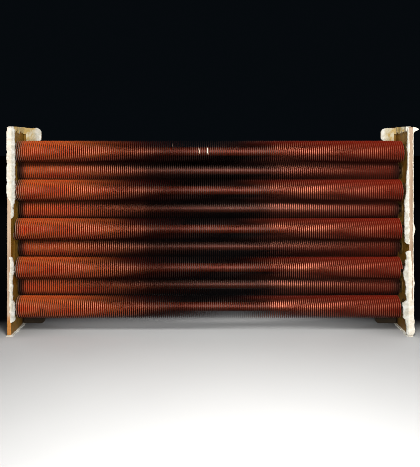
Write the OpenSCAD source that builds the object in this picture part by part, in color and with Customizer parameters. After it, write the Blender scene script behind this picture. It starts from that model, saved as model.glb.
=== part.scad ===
// Radiator core: two staggered rows of copper tubes with spirally wound copper fins, carried in two
// end boards on rubber grommets, with the remains of a cream sealing foam along the boards' edges.
//
// Frame: +X runs along the tubes, -Y is the face the air enters, +Z is up. The origin is on the
// ground, midway between the end boards and halfway through their depth. Millimetres throughout.

/* [Core] */
// Width over the outer faces of the two end boards
core_w = 457; // [400:1:560]
// Number of tubes in the front row; the rear row has one fewer
front_tubes = 5; // [2:1:7]
// Distance between neighbouring tubes in one row
tube_pitch = 44.45; // [44:0.05:60]
// Distance from the front row's axes back to the rear row's axes
row_gap = 14.3; // [13.5:0.1:16]
// Height of the lowest front tube's axis above the ground
first_axis_z = 29.8; // [28:0.1:45]
// Distance from the highest front tube's axis up to the top of the boards
top_margin = 28.2; // [27:0.1:45]

/* [Tube] */
// Outside diameter of the plain tube (3/8 inch)
tube_od = 9.52; // [8:0.01:10]
// Wall thickness of the tube
tube_wall = 0.8; // [0.5:0.05:1.2]
// Outside diameter of the sized tube ends, which a header plate fits over
end_od = 8.9; // [7.6:0.05:9]
// Length of each sized end
end_l = 2.5; // [2:0.1:6]

/* [Fin] */
// Outside diameter over the fins (1 inch)
fin_od = 25.4; // [20:0.1:25.4]
// Distance from one turn of the fin to the next (11 turns to the inch)
fin_pitch = 2.3; // [1.8:0.05:4]
// Thickness of the fin strip
fin_t = 0.35; // [0.2:0.05:0.6]
// Plain length of the strip's foot before the first turn and after the last
foot_land = 0.6; // [0.2:0.1:0.6]
// Gap from the left board to the fin's first turn on each front tube, from the top one down
front_left_gap = [2.8, 2.4, 1.8, 2.8, 4.1]; // [1.8:0.1:12]
// Least gap from the fin's last turn to the right board on each front tube, from the top one down
front_right_gap = [2.1, 2.6, 3.1, 4.6, 5.6]; // [1.8:0.1:12]
// Gap from the left board to the fin's first turn on each rear tube
rear_left_gap = 2.2; // [1.8:0.1:12]
// Least gap from the fin's last turn to the right board on each rear tube
rear_right_gap = 3; // [1.8:0.1:12]

/* [End boards] */
// Thickness of an end board
board_t = 4.9; // [3:0.1:6]
// Depth of an end board from front to back
board_d = 50.5; // [50:0.5:80]
// Distance from the boards' front edges back to the fins
front_setback = 3; // [2.8:0.1:3.2]
// Width of the batten that closes each board's rear inner corner
batten_w = 7; // [5:0.5:12]
// Thickness of the batten and its lugs
batten_t = 4.5; // [3:0.1:4.8]
// Reach of the left upper lug, from the board's inner face
left_top_lug_w = 21; // [16:0.5:30]
// Reach of the right upper lug
right_top_lug_w = 18.5; // [16:0.5:30]
// Reach of the lower lugs
bottom_lug_w = 26; // [16:0.5:30]
// Height of each lug
lug_h = 17; // [14:0.5:24]
// Corner radius of the lugs
lug_r = 6; // [2:0.5:6.5]

/* [Panel pins] */
// Diameter of the pins that hold each batten to its board
pin_od = 1.6; // [1:0.1:2]
// Diameter of the pin's head
pin_head_od = 3; // [2.4:0.1:4]
// Thickness of the pin's head
pin_head_t = 0.8; // [0.5:0.1:1]
// Length of the pin over its head
pin_l = 10; // [8:0.1:10.5]
// Number of pins at each end
pins = 5; // [2:1:8]

/* [Grommets] */
// Diameter of the grommet's neck and of the hole it fills in the board
neck_od = 14; // [12:0.5:15]
// Diameter of the flange on the board's inner face
inner_flange_od = 18; // [16:0.5:22]
// Thickness of the inner flange
inner_flange_t = 1; // [0.8:0.1:1.2]
// Diameter of the flange on the board's outer face
outer_flange_od = 18; // [16:0.5:18.5]
// Thickness of the outer flange
outer_flange_t = 1; // [0.8:0.1:2]

/* [Sealing foam] */
// Thickness of the foam on the upper part of the boards' inner faces
foam_t = 3.8; // [1:0.1:5]
// Thickness of the lower strip on the left board
left_lower_foam_t = 5; // [1:0.1:8]
// Thickness of the lower strip on the right board
right_lower_foam_t = 8; // [1:0.1:9]
// Depth of the strips beside the front edges, which ends short of the fins
foam_d = 2.7; // [2:0.1:2.7]
// Height of the strips along the boards' top edges, behind the front strips
top_foam_h = 6; // [4:0.5:8]
// Thickness of the foam in front of the upper lugs
lug_foam_t = 3; // [2:0.1:3.2]
// Thickness of the layer under the boards
base_foam_t = 1.2; // [0.8:0.1:2]
// Width of the layer under the boards
base_foam_w = 6; // [5:0.1:7]
// Thickness of the strip on the right board's outer face
outer_foam_t = 1.5; // [0.8:0.1:2]

/* [Hidden] */
$fn = 64;
COPPER = "#b4562c";
FIN_COPPER = "#c25a2a";
BOARD = "#8a5f2c";
STEEL = "#7d7a76";
RUBBER = "#1c1a19";
FOAM = "#efe6cd";

half_w = core_w / 2;
inner_x = half_w - board_t;
front_y = -board_d / 2;
rear_y = board_d / 2;
front_axis_y = front_y + front_setback + fin_od / 2;
rear_axis_y = front_axis_y + row_gap;
top_axis_z = first_axis_z + (front_tubes - 1) * tube_pitch;
top_z = top_axis_z + top_margin;
rear_tubes = front_tubes - 1;

tube_r = tube_od / 2;
bore_r = tube_r - tube_wall;
foot_r = tube_r + fin_t;
fin_r = fin_od / 2;
neck_end_x = half_w + outer_flange_t;
tube_end_x = neck_end_x + end_l;

// The pins run along the middle of the batten's thickness, from one lug's height to the other's.
pin_y = rear_y - batten_t / 2;
first_pin_z = base_foam_t + lug_h / 2;
pin_step = (top_z - first_pin_z - lug_h / 2) / (pins - 1);

// Each front strip is in two lengths, [from, to] above the ground, because the foam has broken away
// between them.
left_strips = [[17, 90], [134, top_z]];
right_strips = [[3, 97], [105, top_z]];
outer_strip_bottom = 3;

front_names = [for (i = [1 : front_tubes]) str("front_", i)];
rear_names = [for (i = [1 : rear_tubes]) str("rear_", i)];
tube_names = concat(front_names, rear_names);

// Axis of tube k as [y, z]: the front row comes first, each row from the top down.
function axis_of(k) = k < front_tubes
    ? [front_axis_y, top_axis_z - k * tube_pitch]
    : [rear_axis_y, top_axis_z - (k - front_tubes + 0.5) * tube_pitch];

function top_lug_of(side) = side == "left" ? left_top_lug_w : right_top_lug_w;

// Gaps between tube k's fin and the boards.
function left_gap_of(k) = k < front_tubes ? front_left_gap[k % len(front_left_gap)] : rear_left_gap;
function right_gap_of(k) = k < front_tubes ? front_right_gap[k % len(front_right_gap)] : rear_right_gap;

// As many turns as fit between tube k's gaps.
function turns_of(k) =
    1 + floor((2 * inner_x - left_gap_of(k) - right_gap_of(k) - fin_t) / fin_pitch);

// Section of the wound strip, as [radius, distance along]: a foot on the tube, with a comb of turns.
function fin_section(turns) =
    let (
        turn = [[foot_r, 0], [fin_r, 0], [fin_r, fin_t], [foot_r, fin_t]],
        total = 2 * foot_land + (turns - 1) * fin_pitch + fin_t
    )
    concat(
        [[tube_r, 0], [foot_r, 0]],
        [for (i = [0 : turns - 1]) for (p = turn) p + [0, foot_land + i * fin_pitch]],
        [[foot_r, total], [tube_r, total]]
    );

// Turns a [radius, distance] section about the X axis.
module turned_on_x(section) {
    rotate([0, 90, 0])
        rotate_extrude()
            polygon(section);
}

// The parts of each end are drawn for the left one, and mirrored for the right.
module on_side(side) {
    if (side == "left") children();
    else mirror([1, 0, 0]) children();
}

module at_tube(k) {
    translate([0, axis_of(k)[0], axis_of(k)[1]]) children();
}

module at_pins() {
    for (i = [0 : pins - 1])
        translate([0, pin_y, first_pin_z + i * pin_step]) children();
}

// A pin whose head is flush with the board's outer face. The board and the batten are cut with it.
module pin_solid(overrun) {
    turned_on_x([
        [0, -half_w - overrun],
        [pin_head_od / 2, -half_w - overrun],
        [pin_head_od / 2, pin_head_t - half_w],
        [pin_od / 2, pin_head_t - half_w],
        [pin_od / 2, pin_l - half_w],
        [0, pin_l - half_w]
    ]);
}

module panel_pins() {
    color(STEEL)
        at_pins() pin_solid(0);
}

module tube() {
    color(COPPER)
        turned_on_x([
            [bore_r, -tube_end_x],
            [end_od / 2, -tube_end_x],
            [end_od / 2, -neck_end_x],
            [tube_r, -neck_end_x],
            [tube_r, neck_end_x],
            [end_od / 2, neck_end_x],
            [end_od / 2, tube_end_x],
            [bore_r, tube_end_x]
        ]);
}

module fins(k) {
    color(FIN_COPPER)
        translate([left_gap_of(k) - foot_land - inner_x, 0, 0])
            turned_on_x(fin_section(turns_of(k)));
}

module grommets() {
    color(RUBBER)
        for (k = [0 : len(tube_names) - 1])
            at_tube(k)
                turned_on_x([
                    [tube_r, -neck_end_x],
                    [outer_flange_od / 2, -neck_end_x],
                    [outer_flange_od / 2, -half_w],
                    [neck_od / 2, -half_w],
                    [neck_od / 2, -inner_x],
                    [inner_flange_od / 2, -inner_x],
                    [inner_flange_od / 2, inner_flange_t - inner_x],
                    [tube_r, inner_flange_t - inner_x]
                ]);
}

module end_board() {
    color(BOARD)
        difference() {
            translate([-half_w, front_y, base_foam_t])
                cube([board_t, board_d, top_z - base_foam_t]);
            for (k = [0 : len(tube_names) - 1])
                at_tube(k)
                    translate([-half_w - 1, 0, 0])
                        rotate([0, 90, 0])
                            cylinder(d = neck_od, h = board_t + 2);
            at_pins() pin_solid(1);
        }
}

// A lug's outline in [x, z], with rounded corners at its free end.
module lug_outline(reach) {
    square([reach - lug_r, lug_h]);
    translate([0, lug_r])
        square([reach, lug_h - 2 * lug_r]);
    for (z = [lug_r, lug_h - lug_r])
        translate([reach - lug_r, z])
            circle(r = lug_r);
}

// Turns an outline in [x, z] into a plate of the given thickness, with its back at y.
module upright_plate(thickness, y) {
    translate([-inner_x, y, 0])
        rotate([90, 0, 0])
            linear_extrude(thickness)
                children();
}

module rear_batten(side) {
    color(BOARD)
        difference() {
            upright_plate(batten_t, rear_y) {
                translate([0, base_foam_t])
                    square([batten_w, top_z - base_foam_t]);
                translate([0, top_z - lug_h - 1])
                    lug_outline(top_lug_of(side));
                translate([0, base_foam_t])
                    lug_outline(bottom_lug_w);
            }
            at_pins() pin_solid(1);
        }
}

// A strip of foam on the board's inner face, beside its front edge.
module front_seal(strip, thickness) {
    color(FOAM)
        translate([-inner_x, front_y, strip[0]])
            cube([thickness, foam_d, strip[1] - strip[0]]);
}

module outer_seal() {
    color(FOAM)
        translate([-half_w - outer_foam_t, front_y, outer_strip_bottom])
            cube([outer_foam_t, foam_d, top_z - outer_strip_bottom]);
}

module top_seal() {
    color(FOAM)
        translate([-inner_x, front_y + foam_d, top_z - top_foam_h])
            cube([foam_t, board_d - foam_d - batten_t, top_foam_h]);
}

module lug_seal(side) {
    color(FOAM)
        upright_plate(lug_foam_t, rear_y - batten_t)
            translate([foam_t, top_z - lug_h - 1])
                lug_outline(top_lug_of(side) - foam_t);
}

module base_seal() {
    color(FOAM)
        translate([-half_w, front_y, 0])
            cube([base_foam_w, board_d, base_foam_t]);
}

for (k = [0 : len(tube_names) - 1]) {
    at_tube(k) tube();
    at_tube(k) fins(k);
}
for (side = ["left", "right"]) {
    on_side(side) end_board();
    on_side(side) rear_batten(side);
    on_side(side) panel_pins();
    on_side(side) grommets();
    on_side(side) top_seal();
    on_side(side) lug_seal(side);
    on_side(side) base_seal();
}
front_seal(left_strips[0], left_lower_foam_t);  // left_front_seal_lower
front_seal(left_strips[1], foam_t);  // left_front_seal_upper
on_side("right") front_seal(right_strips[0], right_lower_foam_t);  // right_front_seal_lower
on_side("right") front_seal(right_strips[1], foam_t);  // right_front_seal_upper
on_side("right") outer_seal();  // right_outer_seal
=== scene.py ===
"""Looks of the finned tube radiator core: spiral copper fins, worn fibreboard ends and torn sealing foam.

Everything is in metres in the frame's own coordinates: +X along the tubes, -Y the front, +Z up. Places and
sizes come from the frame's boxes. Lengths that belong to a surface's wear are written in units of MM.
"""

import math

import bmesh
import bpy
import numpy as np
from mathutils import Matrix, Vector


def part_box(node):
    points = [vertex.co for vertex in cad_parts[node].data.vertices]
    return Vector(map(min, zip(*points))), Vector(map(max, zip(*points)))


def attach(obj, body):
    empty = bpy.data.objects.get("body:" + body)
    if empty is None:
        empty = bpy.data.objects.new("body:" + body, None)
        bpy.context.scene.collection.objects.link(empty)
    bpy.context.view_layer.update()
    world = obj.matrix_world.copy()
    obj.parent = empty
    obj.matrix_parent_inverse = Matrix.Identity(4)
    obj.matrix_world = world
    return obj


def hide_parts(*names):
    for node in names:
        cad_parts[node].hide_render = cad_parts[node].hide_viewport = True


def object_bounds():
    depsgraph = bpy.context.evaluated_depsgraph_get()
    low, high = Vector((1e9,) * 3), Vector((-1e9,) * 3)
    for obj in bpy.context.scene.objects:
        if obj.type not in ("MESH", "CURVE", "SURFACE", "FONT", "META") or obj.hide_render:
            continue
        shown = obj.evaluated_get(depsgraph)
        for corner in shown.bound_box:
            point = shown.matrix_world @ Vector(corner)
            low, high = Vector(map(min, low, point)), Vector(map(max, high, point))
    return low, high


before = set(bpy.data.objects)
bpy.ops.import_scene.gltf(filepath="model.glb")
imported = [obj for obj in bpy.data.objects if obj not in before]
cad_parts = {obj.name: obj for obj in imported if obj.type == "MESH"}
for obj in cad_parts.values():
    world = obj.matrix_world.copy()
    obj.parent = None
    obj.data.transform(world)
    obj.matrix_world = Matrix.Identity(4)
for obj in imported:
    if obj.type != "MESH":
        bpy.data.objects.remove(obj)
cad_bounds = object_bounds()

MM = 0.001

# The fin strip: distance between turns, thickness at its root and tip, and steps in each turn
FIN_PITCH = 2.3 * MM
FIN_ROOT_T = 0.35 * MM
FIN_TIP_T = 0.30 * MM
SEGMENTS = 40

# Each side's name, and the sign of x on it
SIDES = {"left": -1, "right": 1}

board_low, board_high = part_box("left_end_board")
HALF_W = -board_low.x
INNER_X = -board_high.x
FRONT_Y = board_low.y
REAR_Y = board_high.y
TOP_Z = board_high.z
BOARD_T = HALF_W - INNER_X


# ---------------------------------------------------------------- noise

def lattice_value(cell, seed):
    """A repeatable number from 0 to 1 for each whole-number cell."""
    n = cell[..., 0] * 374761393 + cell[..., 1] * 668265263 + cell[..., 2] * 1103515245 + seed * 1274126177
    n = (n ^ (n >> 13)) * 1274126177
    n = n ^ (n >> 16)
    return (n & 0xFFFFFF) / 0xFFFFFF


def smooth_noise(points, size, seed):
    """Smooth noise from -1 to 1 at each point, with features about as large as size."""
    p = np.asarray(points, float) / size
    cell = np.floor(p).astype(np.int64)
    t = p - cell
    t = t * t * (3 - 2 * t)
    total = np.zeros(p.shape[:-1])
    for corner in np.ndindex(2, 2, 2):
        share = np.prod(np.where(np.array(corner) == 1, t, 1 - t), axis=-1)
        total += share * lattice_value(cell + np.array(corner), seed)
    return 2 * total - 1


def rough_noise(points, size, seed, octaves=3):
    """Noise from about -1 to 1 with finer and finer detail."""
    total = 0.0
    for i in range(octaves):
        total = total + 0.5 ** i * smooth_noise(points, size / 2 ** i, seed + i)
    return total / 1.6


def along_noise(s, size, seed, octaves=2):
    """Rough noise along a line, for an array of distances."""
    s = np.asarray(s, float)
    points = np.stack([s, np.full_like(s, seed * 0.37), np.zeros_like(s)], axis=-1)
    return rough_noise(points, size, seed, octaves)


def step_up(x, low, high):
    """0 below low, 1 above high, and smooth between them."""
    t = np.clip((x - low) / (high - low), 0, 1)
    return t * t * (3 - 2 * t)


def bump_at(x, centre, width):
    """A smooth hump of height 1."""
    return np.exp(-(((x - centre) / width) ** 2))


# ---------------------------------------------------------------- meshes

def outward(points, faces):
    """The faces, turned so that they face out of the closed mesh."""
    a, b, c = (points[faces[:, i]] for i in range(3))
    volume = np.einsum("ij,ij->i", a, np.cross(b, c)).sum()
    if faces.shape[1] == 4:
        d = points[faces[:, 3]]
        volume += np.einsum("ij,ij->i", a, np.cross(c, d)).sum()
    return faces if volume > 0 else faces[:, ::-1]


def add_piece(name, mesh, material, replaced):
    """Puts a mesh in the scene as a piece that stands for the CAD nodes in replaced."""
    mesh.name = name
    mesh.materials.clear()
    mesh.materials.append(material)
    piece = bpy.data.objects.new(name, mesh)
    bpy.context.scene.collection.objects.link(piece)
    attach(piece, "root")
    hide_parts(*replaced)


def placed(x, y, z):
    """Rings of points, an array of [ring, point, xyz], from coordinates that are broadcast together."""
    return np.stack(np.broadcast_arrays(x, y, z), axis=-1)


def skin(rings, sharp_deg=60):
    """A closed mesh through rings of points, with both ends capped."""
    count, around = rings.shape[:2]
    points = rings.reshape(-1, 3)
    ring, k = np.meshgrid(np.arange(count - 1), np.arange(around), indexing="ij")
    here = ring * around + k
    beside = ring * around + (k + 1) % around
    faces = np.stack([here, beside, beside + around, here + around], axis=-1).reshape(-1, 4)
    turned = outward(points, faces)
    flipped = turned is not faces
    first = list(range(around))
    last = list(range((count - 1) * around, count * around))
    first, last = (first, last[::-1]) if flipped else (first[::-1], last)
    mesh = bpy.data.meshes.new("skin")
    mesh.from_pydata(points.tolist(), [], turned.tolist() + [first, last])
    mesh.shade_smooth()
    mesh.set_sharp_from_angle(angle=math.radians(sharp_deg))
    return mesh


def mark(mesh, name, values):
    """Stores a number for each of the mesh's points, for its material to read."""
    mesh.attributes.new(name, "FLOAT", "POINT").data.foreach_set("value", values.astype(np.float32))


# ---------------------------------------------------------------- fins

# Turns bent out of line by knocks: tube, place along it from 0 to 1, direction round it in degrees (0 is
# towards the front and 90 is up), then in millimetres the sideways bend, the loss of height and the
# half-width along the tube, and last how bare the metal was scraped, 0 to 1.
KNOCKS = [
    ("front_1", 0.402, 40, 0.9, 0.9, 1.0, 0.5),
    ("front_1", 0.470, 4, 0.9, 0.5, 1.4, 0.8),
    ("front_1", 0.496, 6, -1.5, 0.3, 0.8, 1.0),
    ("front_3", 0.476, 0, 0.8, 0.4, 0.7, 0.7),
    ("front_3", 0.026, -5, -0.8, 0.4, 3.0, 0.0),
    ("front_5", 0.068, -12, 0.6, 0.3, 4.0, 0.3),
]

# The width in degrees, round the tube, of a knock's dent
KNOCK_SPREAD = 22

# How far the turns have come loose at the left end of each tube: reach of the looseness along the tube, and
# sideways wander, in millimetres. Tubes that are not listed have SLIGHTLY_LOOSE.
SLIGHTLY_LOOSE = (3.0, 0.4)
LOOSE_ENDS = {
    "front_1": (7.0, 1.0),
    "front_2": (6.5, 1.5),
    "front_3": (5.0, 0.7),
    "front_4": (4.0, 0.6),
    "front_5": (3.0, 0.5),
}


def spiral_fin(tube, seed):
    """The fin strip of one tube: an L-shaped section wound on edge, with its foot on the tube."""
    low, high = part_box("fins_" + tube)
    tube_low, tube_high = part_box("tube_" + tube)
    centre_y = (low.y + high.y) / 2
    centre_z = (low.z + high.z) / 2
    tube_r = (tube_high.z - tube_low.z) / 2
    tip_r = (high.z - low.z) / 2
    foot_r = tube_r + FIN_ROOT_T
    length = high.x - low.x
    turns = (length - FIN_PITCH) / FIN_PITCH
    steps = int(turns * SEGMENTS)
    angle = np.linspace(0, 2 * math.pi * turns, steps + 1) + seed
    start = low.x + (length - FIN_PITCH) * np.linspace(0, 1, steps + 1)
    middle = 0.6
    middle_r = foot_r + middle * (tip_r - foot_r)
    foot_w = FIN_PITCH - 0.06 * MM
    section = np.array([
        [0.0, tube_r],
        [foot_w, tube_r],
        [foot_w, foot_r],
        [FIN_ROOT_T, foot_r],
        [(1 - middle) * FIN_ROOT_T + middle * FIN_TIP_T, middle_r],
        [FIN_TIP_T, tip_r],
        [0.0, tip_r],
        [0.0, middle_r],
    ])
    reach = np.clip((section[:, 1] - foot_r) / (tip_r - foot_r), 0, 1)

    # Directions round the tube, in degrees from the front.
    facing = np.degrees(np.arctan2(np.sin(angle), -np.cos(angle)))
    around = np.stack([start, tip_r * np.cos(angle), tip_r * np.sin(angle)], axis=-1)
    field = around * np.array([0.35, 1.0, 1.0]) + seed
    lean = 0.05 * MM * smooth_noise(field, 14 * MM, 3)
    lean += 0.015 * MM * smooth_noise(around + seed, 3.5 * MM, 5)
    height = 0.10 * MM * smooth_noise(around + seed, 5 * MM, 11)

    spread, wander = LOOSE_ENDS.get(tube, SLIGHTLY_LOOSE)
    looseness = np.exp(-((start - low.x) / (spread * MM)) ** 2)
    sway = smooth_noise(around * np.array([0.8, 1, 1]) + seed, 6 * MM, 17)
    lean += wander * MM * looseness * (0.35 + sway)
    curl = np.zeros(steps + 1)
    bare = np.zeros(steps + 1)
    for name, share, direction, bend, loss, half, scraped in KNOCKS:
        if name == tube:
            along = bump_at(start, low.x + share * length, half * MM)
            turned = bump_at((facing - direction + 180) % 360 - 180, 0, KNOCK_SPREAD)
            curl += bend * MM * along * turned
            height -= loss * MM * along * turned
            bare = np.maximum(bare, scraped * along * turned)

    x = start[:, None] + section[None, :, 0] + lean[:, None] * reach[None, :] ** 1.4
    x += curl[:, None] * reach[None, :] ** 4
    r = section[None, :, 1] + height[:, None] * reach[None, :]
    y = centre_y + r * np.cos(angle)[:, None]
    z = centre_z + r * np.sin(angle)[:, None]
    mesh = skin(placed(x, y, z), sharp_deg=50)

    # The rear row is painted darker: painted shade over it away from the left end, a painted shadow where
    # the front row hides its top and bottom, and darker beside the boards.
    sooted = np.zeros(steps + 1)
    if tube.startswith("rear"):
        clear = step_up(start - low.x, 3 * MM, 11 * MM) * step_up(high.x - start, 2 * MM, 16 * MM)
        hidden = step_up(np.sin(angle), 0.48, 0.70) + step_up(-np.sin(angle), 0.68, 0.95)
        rear_row_shade = 0.05 + 0.35 * step_up(start, -165 * MM, -125 * MM)
        sooted = 1 - clear * (1 - 0.85 * hidden) * (1 - rear_row_shade)

    mark(mesh, "reach", np.tile(reach, steps + 1))
    for name, values in (("loose", looseness), ("bare", bare), ("sooted", sooted), ("up", np.sin(angle))):
        mark(mesh, name, np.repeat(values, len(section)))
    return mesh


# ---------------------------------------------------------------- foam

def edge_points(corners, counts):
    """Points round a section: counts[i] points on the side from corner i to the next."""
    points = []
    for i, count in enumerate(counts):
        a = corners[i]
        b = corners[(i + 1) % len(corners)]
        t = np.arange(count) / count
        points.append(a[:, None, :] * (1 - t)[None, :, None] + b[:, None, :] * t[None, :, None])
    return np.concatenate(points, axis=1)


def corner_strip(s, film_end, film_t, thick, depth):
    """Rings of a crumbling strip that lies in the corner of a board's edge and its inner face.

    s is the distance along the strip. A section is drawn as [a, b], with a across the board's thickness,
    measured from its inner face, and b from the board's edge inwards. The film reaches over the edge to
    a = film_end, and the strip stands on the inner face to a = thick and goes in to b = depth."""
    one = np.ones_like(s)
    bite = 0.06 * MM
    corners = [np.stack([a, b], axis=-1) for a, b in (
        (film_end, -film_t * one),
        (thick, -film_t * one),
        (thick, depth),
        (-bite * one, depth),
        (-bite * one, bite * one),
        (film_end, bite * one),
    )]
    return edge_points(corners, (9, 7, 8, 4, 6, 2))


def crumble(rings, seed, size, amount):
    """Roughens rings of points with noise in all three directions."""
    shift = [rough_noise(rings, size, seed + 10 * i) for i in range(3)]
    return rings + amount * np.stack(shift, axis=-1)


def mirrored(rings, side):
    """Rings drawn for the left end, carried to the given side."""
    return rings if side == "left" else rings * np.array([-1, 1, 1])


def ragged(s, low, high, seed, size):
    """An uneven width along s that stays between low and high."""
    return low + (high - low) * np.clip(0.5 + 0.75 * along_noise(s, size, seed, 3), 0, 1)


def rounded_ends(s, length):
    """Shrinks a strip to nothing over the given length at both ends."""
    room = np.minimum(s - s[0], s[-1] - s) / length
    return np.sqrt(np.clip(1 - (1 - np.clip(room, 0.03, 1)) ** 2, 0, 1))


def front_strip(side, node, seed, swell, film):
    """Foam beside and over a board's front edge. swell(z) gives its thickness as a share of the node's, and
    film(z) how far the film covers the edge, 0 to 1."""
    low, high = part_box(node)
    z = np.arange(low.z - 1 * MM, high.z, 0.55 * MM)
    full_t = high.x - low.x
    full_d = high.y - low.y
    ends = rounded_ends(z, 3 * MM)
    thick = full_t * np.clip(swell(z) + 0.16 * along_noise(z, 6 * MM, seed, 3), 0.12, 1.4) * ends
    depth = ragged(z, 0.7 * full_d, full_d, seed + 3, 7 * MM) * ends
    cover = np.clip(film(z) + 0.22 * along_noise(z, 4 * MM, seed + 5, 3), 0.05, 1.03)
    film_t = 0.45 * MM
    section = corner_strip(z, -cover * BOARD_T, film_t, thick, depth)
    rings = placed(-INNER_X + section[..., 0], FRONT_Y + section[..., 1], z[:, None])
    return skin(mirrored(crumble(rings, seed, 1.9 * MM, 0.34 * MM), side))


def top_strip(side, seed):
    """Foam in the corner of a board's top edge and its inner face, with a torn lower edge."""
    low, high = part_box(side + "_top_seal")
    y = np.arange(low.y, high.y, 0.5 * MM)
    full_h = high.z - low.z
    drop = full_h * (0.55 + 1.1 * np.abs(along_noise(y, 7 * MM, seed, 3)) ** 0.9)
    thick = ragged(y, 1.2 * MM, 2.6 * MM, seed + 4, 6 * MM)
    cover = np.clip(0.55 + 0.6 * along_noise(y, 8 * MM, seed + 6, 3), 0.05, 1.0)
    section = corner_strip(y, -cover * BOARD_T, 0.4 * MM, thick, drop)
    rings = placed(-INNER_X + section[..., 0], y[:, None], TOP_Z - section[..., 1])
    return skin(mirrored(crumble(rings, seed, 1.6 * MM, 0.25 * MM), side))


# Lumps of the foam on the right board's outer face: thickness, height above the ground and spread, in
# millimetres.
OUTER_LUMPS = [
    (5.4, TOP_Z / MM - 2.6, 2.4),
    (0.6, 147, 3),
    (1.9, 120, 6),
    (0.8, 60, 3),
    (0.9, 17, 3),
    (1.3, 8, 4),
]


def outer_strip(seed):
    """Foam that has squeezed round to the right board's outer face, thin but for a few lumps."""
    low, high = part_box("right_outer_seal")
    z = np.arange(low.z, high.z, 0.55 * MM)
    lumps = 0.5 * step_up(-z, -84 * MM, -78 * MM)
    for size, place, spread in OUTER_LUMPS:
        lumps = lumps + size * bump_at(z, place * MM, spread * MM)
    thick = np.clip(0.2 + lumps * (0.85 + 0.3 * along_noise(z, 5 * MM, seed, 3)), 0.15, 6.0) * MM
    depth = ragged(z, 1.2 * MM, high.y - low.y, seed + 3, 7 * MM) * (0.5 + 0.5 * step_up(thick, 0, 1.2 * MM))
    film_end = -ragged(z, 0.2 * MM, 0.8 * MM, seed + 5, 4 * MM)
    section = corner_strip(z, film_end, 0.3 * MM, thick, depth)
    rings = placed(HALF_W + section[..., 0], FRONT_Y + section[..., 1], z[:, None])
    return skin(crumble(rings, seed, 1.8 * MM, 0.25 * MM))


def base_strip(side, seed):
    """The layer of foam that the board stands on."""
    low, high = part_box(side + "_base_seal")
    y = np.arange(low.y, high.y, 0.6 * MM)
    inner = ragged(y, 6.0 * MM, 7.8 * MM, seed, 6 * MM)
    outer = ragged(y, -0.5 * MM, 0.5 * MM, seed + 2, 6 * MM)
    top = np.full_like(y, high.z + 0.05 * MM)
    base = np.zeros_like(y)
    corners = [np.stack([a, b], axis=-1) for a, b in (
        (outer, base), (inner, base), (inner, top), (outer, top)
    )]
    section = edge_points(corners, (10, 3, 10, 3))
    rings = placed(-HALF_W + section[..., 0], y[:, None], section[..., 1])
    rings = crumble(rings, seed, 1.8 * MM, 0.2 * MM)
    rings[..., 2] = np.clip(rings[..., 2], 0, None)
    return skin(mirrored(rings, side))


def lug_foam(side, seed, height_share):
    """The lump of foam on the front of an upper lug, rounded at its free end.

    height_share is how much of the lug's height it covers there. Beside the board only a band along the top
    is left."""
    low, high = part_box(side + "_lug_seal")
    free_end = max(abs(low.x), abs(high.x)) - (high.x - low.x)
    width = INNER_X - free_end + 0.5 * MM
    height = high.z - low.z
    band = 6.5 * MM
    end_r = 3 * MM
    taper = 6 * MM
    straight = np.arange(0, width - end_r, 0.5 * MM)
    reach = np.concatenate([straight, width - end_r * np.cos(np.linspace(0, 1.5, 9))])
    free = np.clip((reach - (width - taper)) / taper, 0, 1)
    pull = height * 0.36 * (1 - np.sqrt(1 - np.clip(free, 0, 0.995) ** 2))
    rise = height * (1 - height_share) * step_up(reach, 8 * MM, 12 * MM)
    rise += (height - band) * step_up(-reach, -4.2 * MM, -3.4 * MM)
    bottom = low.z + 0.8 * pull + rise + 0.5 * MM * along_noise(reach, 4 * MM, seed, 3)
    top = high.z + 0.6 * MM - pull + 0.5 * MM * along_noise(reach, 5 * MM, seed + 2, 3)
    thick = (high.y - low.y) * (0.75 + 0.3 * along_noise(reach, 7 * MM, seed + 4, 2))
    thick *= np.sqrt(1 - 0.75 * free ** 2)
    back = np.full_like(reach, high.y + 0.05 * MM)
    front = high.y - thick
    corners = [np.stack([a, b], axis=-1) for a, b in (
        (front, bottom), (front, top), (back, top), (back, bottom)
    )]
    section = edge_points(corners, (34, 6, 12, 6))
    rings = placed(-INNER_X + 0.2 * MM + reach[:, None], section[..., 0], section[..., 1])
    rings = crumble(rings, seed, 4.0 * MM, 0.5 * MM)
    rings = crumble(rings, seed + 50, 1.3 * MM, 0.2 * MM)
    return skin(mirrored(rings, side))


# ---------------------------------------------------------------- boards

def welded_copy(node):
    """A CAD node's mesh with its split edges joined, so that it is closed."""
    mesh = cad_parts[node].data.copy()
    edit = bmesh.new()
    edit.from_mesh(mesh)
    bmesh.ops.remove_doubles(edit, verts=edit.verts, dist=1e-6)
    edit.to_mesh(mesh)
    edit.free()
    return mesh


def worn_mesh(mesh, voxel, dent, seed):
    """The mesh rebuilt in small even faces, with softened corners and an uneven, dented surface."""
    holder = bpy.data.objects.new("holder", mesh)
    bpy.context.scene.collection.objects.link(holder)
    remesh = holder.modifiers.new("remesh", "REMESH")
    remesh.mode = "VOXEL"
    remesh.voxel_size = voxel
    worn = bpy.data.meshes.new_from_object(holder.evaluated_get(bpy.context.evaluated_depsgraph_get()))
    bpy.data.objects.remove(holder)
    points = np.empty(len(worn.vertices) * 3)
    normals = np.empty(len(worn.vertices) * 3)
    worn.vertices.foreach_get("co", points)
    worn.vertex_normals.foreach_get("vector", normals)
    points = points.reshape(-1, 3)
    normals = normals.reshape(-1, 3)
    dents = rough_noise(points, 6 * MM, seed, 4) * dent
    points = points + normals * np.minimum(dents, 0.2 * dent)[:, None]
    worn.vertices.foreach_set("co", points.ravel())
    worn.shade_smooth()
    worn.set_sharp_from_angle(angle=math.radians(60))
    return worn


# ---------------------------------------------------------------- materials

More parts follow.
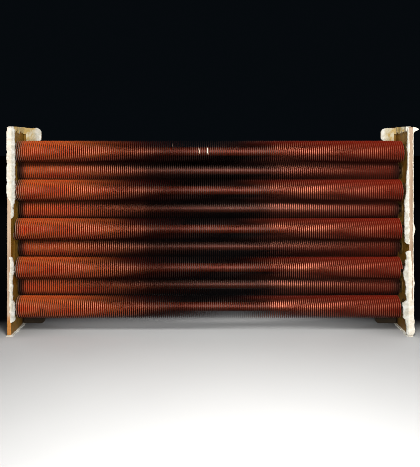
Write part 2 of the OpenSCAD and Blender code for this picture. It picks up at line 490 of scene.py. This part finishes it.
class Nodes:
    """Short ways to add and join the nodes of one material."""

    def __init__(self, name):
        self.material = bpy.data.materials.new(name)
        self.material.use_nodes = True
        self.tree = self.material.node_tree
        self.shader = self.tree.nodes["Principled BSDF"]
        self.place = self.add("ShaderNodeTexCoord").outputs["Object"]

    def add(self, kind, **settings):
        node = self.tree.nodes.new(kind)
        for key, value in settings.items():
            setattr(node, key, value)
        return node

    def join(self, value, socket):
        if isinstance(value, bpy.types.NodeSocket):
            self.tree.links.new(value, socket)
        else:
            socket.default_value = value

    def math(self, operation, a, b=0.0):
        node = self.add("ShaderNodeMath", operation=operation)
        self.join(a, node.inputs[0])
        self.join(b, node.inputs[1])
        return node.outputs[0]

    def noise(self, size, detail=4.0, rough=0.55, stretch=(1, 1, 1), warp=0.0):
        """Noise from 0 to 1 with features of the given size in metres, stretched along each axis."""
        mapping = self.add("ShaderNodeMapping")
        self.join(self.place, mapping.inputs["Vector"])
        mapping.inputs["Scale"].default_value = [1 / (size * k) for k in stretch]
        noise = self.add("ShaderNodeTexNoise")
        self.join(mapping.outputs[0], noise.inputs["Vector"])
        noise.inputs["Scale"].default_value = 1.0
        noise.inputs["Detail"].default_value = detail
        noise.inputs["Roughness"].default_value = rough
        noise.inputs["Distortion"].default_value = warp
        return noise.outputs[0]

    def span(self, value, low, high, to_low=0.0, to_high=1.0):
        """The value's place between low and high, smoothed and carried to another range."""
        node = self.add("ShaderNodeMapRange", interpolation_type="SMOOTHSTEP")
        self.join(value, node.inputs["Value"])
        self.join(low, node.inputs["From Min"])
        self.join(high, node.inputs["From Max"])
        self.join(to_low, node.inputs["To Min"])
        self.join(to_high, node.inputs["To Max"])
        return node.outputs[0]

    def mix(self, share, a, b):
        node = self.add("ShaderNodeMix", data_type="RGBA", blend_type="MIX")
        self.join(share, node.inputs[0])
        self.join(a if isinstance(a, bpy.types.NodeSocket) else (*a, 1), node.inputs[6])
        self.join(b if isinstance(b, bpy.types.NodeSocket) else (*b, 1), node.inputs[7])
        return node.outputs[2]

    def plus(self, a, b):
        return self.math("ADD", a, b)

    def times(self, a, b):
        return self.math("MULTIPLY", a, b)

    def absolute(self, value):
        """The value without its sign."""
        return self.math("ABSOLUTE", value)

    def darken(self, share, colour):
        return self.mix(share, colour, (0, 0, 0))

    def attribute(self, name):
        """A number that mark stored in the mesh."""
        return self.add("ShaderNodeAttribute", attribute_name=name).outputs["Fac"]

    def axis(self, letter):
        node = self.add("ShaderNodeSeparateXYZ")
        self.join(self.place, node.inputs[0])
        return node.outputs[letter]

    def facing(self, letter):
        """How far the true surface faces along an axis, from -1 to 1."""
        geometry = self.add("ShaderNodeNewGeometry")
        node = self.add("ShaderNodeSeparateXYZ")
        self.join(geometry.outputs["True Normal"], node.inputs[0])
        return node.outputs[letter]

    def bump(self, height, distance, strength=1.0):
        node = self.add("ShaderNodeBump")
        node.inputs["Distance"].default_value = distance
        node.inputs["Strength"].default_value = strength
        self.join(height, node.inputs["Height"])
        self.join(node.outputs[0], self.shader.inputs["Normal"])

    def finish(self, colour, roughness, metallic=0.0, sheen=0.5):
        """Joins up the shader. sheen is the strength of the pale reflection that lies over the colour."""
        self.shader.inputs["Specular IOR Level"].default_value = sheen
        self.join(colour, self.shader.inputs["Base Color"])
        self.join(roughness, self.shader.inputs["Roughness"])
        self.join(metallic, self.shader.inputs["Metallic"])
        return self.material


def fin_copper():
    """Copper strip: flanks golden and orange at the left end, with painted light on the tops of the turns
    and painted shade elsewhere, and a dull cut edge.
    """
    red = (0.76, 0.075, 0.016)
    orange = (0.88, 0.155, 0.026)
    lit_top_gold = (0.86, 0.210, 0.034)
    brown = (0.138, 0.011, 0.004)
    crimson = (0.42, 0.026, 0.008)
    straw = (0.14, 0.085, 0.040)
    shade = (0.06, 0.006, 0.003)
    root_dark = (0.06, 0.006, 0.001)
    root_light = (0.13, 0.015, 0.003)
    left_rim = (0.78, 0.29, 0.175)
    middle_rim = (0.072, 0.042, 0.034)
    right_rim = (0.50, 0.170, 0.105)
    loose_rim = (0.70, 0.58, 0.47)
    scraped = (0.95, 0.70, 0.54)
    soot = (0.035, 0.018, 0.014)

    n = Nodes("fin_copper")
    reach = n.attribute("reach")
    loose = n.attribute("loose")
    up = n.attribute("up")
    broad = n.noise(60 * MM, stretch=(1.6, 1, 1))
    patch = n.noise(16 * MM, detail=3, stretch=(1.5, 1, 0.7))
    fine = n.noise(5 * MM, detail=6, stretch=(0.25, 1, 1))

    # Bands along the tube, in painted light and shade: painted shade from the middle on and towards the tops
    # and bottoms of the turns, a lighter crimson at the right end, and a painted shadow band across the
    # middle.
    place = n.plus(n.axis("X"), n.times(broad, 70 * MM))
    place = n.plus(place, n.times(n.absolute(up), 50 * MM))
    shaded_past_left = n.span(place, -90 * MM, 0 * MM)
    right = n.span(place, 105 * MM, 150 * MM)
    edge_place = n.plus(n.axis("X"), n.times(patch, 8 * MM))
    middle_shade_band = n.times(n.span(edge_place, -74 * MM, -66 * MM), n.span(edge_place, 78 * MM, 70 * MM))

    flank = n.mix(n.span(patch, 0.35, 0.65), red, orange)
    # Painted light: the tops of the turns are painted a lighter gold.
    flank = n.mix(n.span(up, 0.3, 0.95, 0, 0.6), flank, lit_top_gold)
    flank = n.mix(shaded_past_left, flank, brown)
    flank = n.mix(right, flank, crimson)
    flank = n.mix(n.times(loose, 0.8), flank, straw)
    # Painted shade: the flanks darken towards the undersides of the turns.
    flank = n.mix(n.span(up, 0.1, -0.9, 0, 0.68), flank, shade)
    root = n.mix(n.span(fine, 0.3, 0.8), root_dark, root_light)
    colour = n.mix(n.span(n.plus(reach, n.times(fine, 0.2)), 0.15, 0.95), root, flank)

    # The cut edge is painted in the same bands: bright as if lit at the left end, and dark in the painted
    # shade past it.
    rim = n.mix(shaded_past_left, left_rim, middle_rim)
    rim = n.mix(right, rim, right_rim)
    rim = n.mix(loose, rim, loose_rim)
    edge = n.span(n.absolute(n.facing("X")), 0.7, 0.4)
    on_rim = n.times(edge, n.span(reach, 0.8, 0.9))
    colour = n.mix(on_rim, colour, rim)

    bare = n.times(n.span(n.attribute("bare"), 0.3, 0.7), n.span(reach, 0.5, 0.8))
    colour = n.mix(bare, colour, scraped)
    # Painted shade and shadow on the rear row, from the mark that spiral_fin stores.
    colour = n.mix(n.times(n.attribute("sooted"), 0.9), colour, soot)
    # Painted shadow across the middle band.
    colour = n.darken(n.times(middle_shade_band, 0.28), colour)
    # More painted shade on the undersides of the turns.
    colour = n.darken(n.span(up, -0.6, -1.0, 0, 0.8), colour)
    n.bump(fine, 0.2 * MM, 0.5)
    return n.finish(
        colour,
        roughness=n.span(fine, 0.2, 0.8, 0.36, 0.52),
        metallic=n.span(on_rim, 0.0, 1.0, 0.3, 0.75),
        sheen=0.1,
    )


def tube_copper():
    """Plain tube: browned copper with verdigris specks, blackened beside the boards."""
    verdigris = (0.08, 0.10, 0.08)
    black = (0.012, 0.009, 0.007)
    n = Nodes("tube_copper")
    broad = n.noise(25 * MM)
    fine = n.noise(2.5 * MM, detail=6)
    colour = n.mix(n.span(broad, 0.3, 0.7), (0.080, 0.030, 0.010), (0.155, 0.065, 0.020))
    colour = n.mix(n.span(fine, 0.62, 0.78, 0.0, 0.7), colour, verdigris)
    near_board = n.span(n.absolute(n.axis("X")), INNER_X - 12 * MM, INNER_X - 6 * MM, 0, 0.85)
    colour = n.mix(near_board, colour, black)
    n.bump(fine, 0.15 * MM, 0.5)
    return n.finish(colour, n.span(fine, 0.2, 0.8, 0.28, 0.55), metallic=0.85, sheen=0.1)


def fibreboard():
    """Brown varnished fibreboard, with pale raw edges where it is cut."""
    clouded = (0.145, 0.050, 0.003)
    speck = (0.07, 0.04, 0.02)
    foot_shade = (0.010, 0.008, 0.006)
    n = Nodes("fibreboard")
    x = n.axis("X")
    z = n.axis("Z")
    streaks = n.noise(5 * MM, detail=6, stretch=(0.5, 0.6, 6))
    clouds = n.noise(18 * MM, detail=4)
    fine = n.noise(0.9 * MM, detail=5, stretch=(1, 1, 3))
    face = n.mix(n.span(streaks, 0.3, 0.72), (0.085, 0.038, 0.003), (0.200, 0.108, 0.014))
    face = n.mix(n.span(clouds, 0.45, 0.75, 0, 0.75), face, clouded)

    # The cut front edge is raw, stained orange at its foot, and darker on the right board.
    raw = n.mix(n.span(streaks, 0.3, 0.7), (0.40, 0.27, 0.18), (0.52, 0.39, 0.28))
    stained = n.mix(n.span(fine, 0.3, 0.7), (0.38, 0.145, 0.030), (0.50, 0.22, 0.055))
    raw = n.mix(n.span(n.plus(z, n.times(clouds, 30 * MM)), 28 * MM, 40 * MM), stained, raw)
    raw = n.mix(n.span(x, -50 * MM, 50 * MM), raw, n.darken(0.25, raw))
    edge = n.span(n.plus(n.facing("Y"), n.times(fine, 0.2)), -0.35, -0.6)
    on_board = n.span(n.absolute(x), INNER_X, INNER_X + 0.3 * MM)
    colour = n.mix(n.times(edge, on_board), face, raw)
    colour = n.mix(n.span(fine, 0.66, 0.8, 0, 0.6), colour, speck)

    # Painted shade: the foot of the board is painted near black at the rear.
    low = n.span(z, 45 * MM, 12 * MM)
    behind = n.span(n.axis("Y"), REAR_Y - 14 * MM, REAR_Y - 5 * MM)
    colour = n.mix(n.times(n.times(low, behind), 0.93), colour, foot_shade)
    n.bump(n.plus(fine, streaks), 0.35 * MM, 0.6)
    roughness = n.plus(n.span(streaks, 0.3, 0.7, 0.38, 0.55), n.times(edge, 0.3))
    return n.finish(colour, roughness, sheen=0.2)


def torn_foam():
    """Rigid cream foam: torn cells, chalky highlights and old varnish soaked into it in patches."""
    olive = (0.38, 0.33, 0.20)
    varnished = (0.34, 0.24, 0.080)
    deep_cell = (0.36, 0.29, 0.18)
    n = Nodes("torn_foam")
    from_middle = n.absolute(n.axis("X"))
    cells = n.noise(0.8 * MM, detail=5, rough=0.65)
    lumps = n.noise(5 * MM, detail=5)
    soaked = n.noise(11 * MM, detail=4, warp=0.6)
    colour = n.mix(n.span(lumps, 0.3, 0.7), (0.60, 0.55, 0.45), (0.72, 0.69, 0.62))
    shaded_grey = n.mix(n.span(lumps, 0.35, 0.65), (0.40, 0.39, 0.33), (0.56, 0.56, 0.52))
    # Painted shade: foam standing in from the board's inner face is painted grey, while the film over the
    # edge stays cream.
    colour = n.mix(n.span(from_middle, INNER_X - 0.1 * MM, INNER_X - 0.9 * MM), colour, shaded_grey)

    # Varnish has soaked into the top and lug seals, but not into the lugs' free ends.
    high = n.span(n.axis("Z"), TOP_Z - 30 * MM, TOP_Z - 22 * MM)
    back = n.span(n.axis("Y"), FRONT_Y + 3 * MM, FRONT_Y + 6 * MM)
    outer = n.span(from_middle, INNER_X - 17 * MM, INNER_X - 13 * MM)
    share = n.times(n.times(high, back), outer)
    colour = n.mix(n.times(share, 0.7), colour, olive)
    colour = n.mix(n.times(share, n.span(soaked, 0.42, 0.6)), colour, varnished)
    colour = n.mix(n.span(cells, 0.60, 0.78, 0, 0.55), colour, deep_cell)
    n.bump(n.plus(cells, lumps), 0.5 * MM, 0.8)
    n.shader.inputs["Subsurface Weight"].default_value = 0.08
    n.shader.inputs["Subsurface Radius"].default_value = (2 * MM, 1.5 * MM, 1 * MM)
    return n.finish(colour, n.span(cells, 0.3, 0.7, 0.82, 0.97))


def old_rubber():
    """Hardened black rubber with fine cracks, brown with dust and varnish inside the boards."""
    n = Nodes("old_rubber")
    cracks = n.noise(1.2 * MM, detail=6, rough=0.7)
    bloom = n.noise(6 * MM, detail=4)
    colour = n.mix(n.span(bloom, 0.35, 0.75), (0.016, 0.011, 0.007), (0.060, 0.038, 0.020))
    dust = n.mix(n.span(bloom, 0.3, 0.7), (0.045, 0.024, 0.004), (0.085, 0.047, 0.009))
    inside = n.span(n.absolute(n.axis("X")), INNER_X + 1.0 * MM, INNER_X)
    colour = n.mix(inside, colour, dust)
    n.bump(cracks, 0.25 * MM, 0.7)
    return n.finish(colour, n.span(cracks, 0.3, 0.7, 0.62, 0.9), sheen=0.15)


def dull_steel():
    """Panel pins: dull steel, spotted with rust."""
    steel = (0.40, 0.38, 0.36)
    rust = (0.20, 0.085, 0.035)
    n = Nodes("dull_steel")
    spots = n.noise(1.0 * MM, detail=6)
    rusted = n.span(spots, 0.45, 0.65)
    n.bump(spots, 0.1 * MM, 0.6)
    metallic = n.span(spots, 0.45, 0.65, 1.0, 0.15)
    return n.finish(n.mix(rusted, steel, rust), n.span(spots, 0.3, 0.7, 0.35, 0.75), metallic)


def pale_floor():
    """Pale up to the object, with painted shade beyond it from wherever it is seen, so that the fins stand
    out.
    """
    dark = (0.006, 0.006, 0.007)
    n = Nodes("pale_floor")
    grain = n.noise(0.35)
    pale = n.mix(n.span(grain, 0.3, 0.7), (0.47, 0.48, 0.49), (0.50, 0.51, 0.52))
    towards_eye = n.add("ShaderNodeVectorMath", operation="DOT_PRODUCT")
    n.join(n.place, towards_eye.inputs[0])
    n.join(n.add("ShaderNodeNewGeometry").outputs["Incoming"], towards_eye.inputs[1])
    # Painted shade: the floor beyond the object, as seen along each ray, is painted dark in place of light
    # falling off.
    near_side = n.span(towards_eye.outputs["Value"], -120 * MM, -20 * MM)
    return n.finish(n.mix(near_side, dark, pale), roughness=0.9, sheen=0.0)


# ---------------------------------------------------------------- the object

FIN_COPPER = fin_copper()
FOAM = torn_foam()
BOARD = fibreboard()

tubes = sorted(name[len("tube_"):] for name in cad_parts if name.startswith("tube_"))
for number, tube in enumerate(tubes):
    add_piece("spiral_fin_" + tube, spiral_fin(tube, 1.7 * number), FIN_COPPER, ["fins_" + tube])

for side in SIDES:
    for part, slot, seed in (("end_board", "board", 5), ("rear_batten", "batten", 9)):
        node = side + "_" + part
        mesh = worn_mesh(welded_copy(node), 1.0 * MM, 0.35 * MM, seed)
        add_piece("worn_" + node, mesh, BOARD, [node])


# How far each front strip swells, as a share of its CAD thickness, and how far its film covers the board's
# edge, from 0 to 1, at each height above the ground.

def left_swell(z):
    return 0.6 + 0.4 * step_up(z, 145 * MM, 158 * MM)


def left_film(z):
    return step_up(z, 148 * MM, 160 * MM)


def left_lower_swell(z):
    return 0.30 + 0.35 * bump_at(z, 77 * MM, 8 * MM) + 0.5 * step_up(-z, -41 * MM, -37 * MM)


def left_lower_film(z):
    return 0.30 + 0.1 * bump_at(z, 55 * MM, 20 * MM)


def right_swell(z):
    return 1.2 - 0.5 * step_up(z, 150 * MM, 162 * MM) - 0.35 * step_up(z, 178 * MM, 192 * MM)


def right_film(z):
    return 0.04 + 0.16 * bump_at(z, 120 * MM, 12 * MM)


def right_lower_swell(z):
    return (
        0.36
        + 0.28 * bump_at(z, 70 * MM, 8 * MM)
        + 0.40 * step_up(z, 18 * MM, 22 * MM) * step_up(-z, -41 * MM, -37 * MM)
    )


def right_lower_film(z):
    return 1.0 - 0.3 * step_up(z, 36 * MM, 44 * MM) - 0.3 * step_up(z, 80 * MM, 92 * MM)


FRONT_STRIPS = [
    ("left", "left_front_seal_upper", 21, left_swell, left_film),
    ("left", "left_front_seal_lower", 31, left_lower_swell, left_lower_film),
    ("right", "right_front_seal_upper", 41, right_swell, right_film),
    ("right", "right_front_seal_lower", 51, right_lower_swell, right_lower_film),
]
for side, node, seed, swell, film in FRONT_STRIPS:
    add_piece("torn_" + node, front_strip(side, node, seed, swell, film), FOAM, [node])
for side, seed, height_share in (("left", 61, 1.0), ("right", 71, 0.9)):
    seals = {
        "top": top_strip(side, seed),
        "lug": lug_foam(side, seed + 3, height_share),
        "base": base_strip(side, seed + 6),
    }
    for place, mesh in seals.items():
        node = f"{side}_{place}_seal"
        add_piece("torn_" + node, mesh, FOAM, [node])
add_piece("torn_right_outer_seal", outer_strip(81), FOAM, ["right_outer_seal"])

CAD_MATERIALS = {"tube_": tube_copper(), "_grommets": old_rubber(), "_panel_pins": dull_steel()}
for name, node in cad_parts.items():
    for key, material in CAD_MATERIALS.items():
        if name.startswith(key) or name.endswith(key):
            node.data.materials.clear()
            node.data.materials.append(material)


# ---------------------------------------------------------------- floor, light and camera

def floor():
    """A wide square, just under the object."""
    reach = 8.0
    corners = [(-reach, -reach, 0), (reach, -reach, 0), (reach, reach, 0), (-reach, reach, 0)]
    mesh = bpy.data.meshes.new("floor")
    mesh.from_pydata(corners, [], [(0, 1, 2, 3)])
    mesh.materials.append(pale_floor())
    plane = bpy.data.objects.new("floor", mesh)
    plane.location.z = cad_bounds[0].z - 0.1 * MM
    bpy.context.scene.collection.objects.link(plane)


def soft_light(name, place, size, power, colour=(1, 1, 1)):
    """A square soft box that points at the middle of the core."""
    data = bpy.data.lights.new(name, "AREA")
    data.size = size
    data.energy = power
    data.color = colour
    light = bpy.data.objects.new(name, data)
    light.location = place
    target = Vector((0, 0, TOP_Z / 2))
    light.rotation_euler = (target - Vector(place)).to_track_quat("-Z", "Y").to_euler()
    bpy.context.scene.collection.objects.link(light)


def studio():
    """Two small lamps before the core, one above the other, and dim boxes at its ends and behind it."""
    world = bpy.data.worlds.new("studio")
    world.use_nodes = True
    background = world.node_tree.nodes["Background"]
    background.inputs["Color"].default_value = (0.40, 0.62, 0.85, 1)
    background.inputs["Strength"].default_value = 0.005
    bpy.context.scene.world = world
    warm = (1.0, 0.97, 0.93)
    soft_light("key", (0.05, -0.47, 0.46), 0.12, 3.5, warm)
    soft_light("low_key", (0.05, -0.60, 0.20), 0.12, 3.9, warm)
    for side, sign in SIDES.items():
        soft_light("back_" + side, (sign * 1.3, 0.9, 0.5), 0.6, 4)
        soft_light("side_" + side, (sign * 1.4, 0.05, 0.4), 0.6, 4)


def camera():
    """Stands level, a little above the core's middle, and is shifted down so that uprights stay upright."""
    data = bpy.data.cameras.new("camera")
    data.sensor_width = 36
    data.lens = 48
    data.shift_y = -0.20
    view = bpy.data.objects.new("camera", data)
    view.location = (0, FRONT_Y - 0.70, 0.221)
    view.rotation_euler = (math.radians(90), 0, 0)
    bpy.context.scene.collection.objects.link(view)
    bpy.context.scene.camera = view


floor()
studio()
camera()
bpy.context.scene.view_settings.view_transform = "Standard"
bpy.context.scene.cycles.filter_width = 0.9
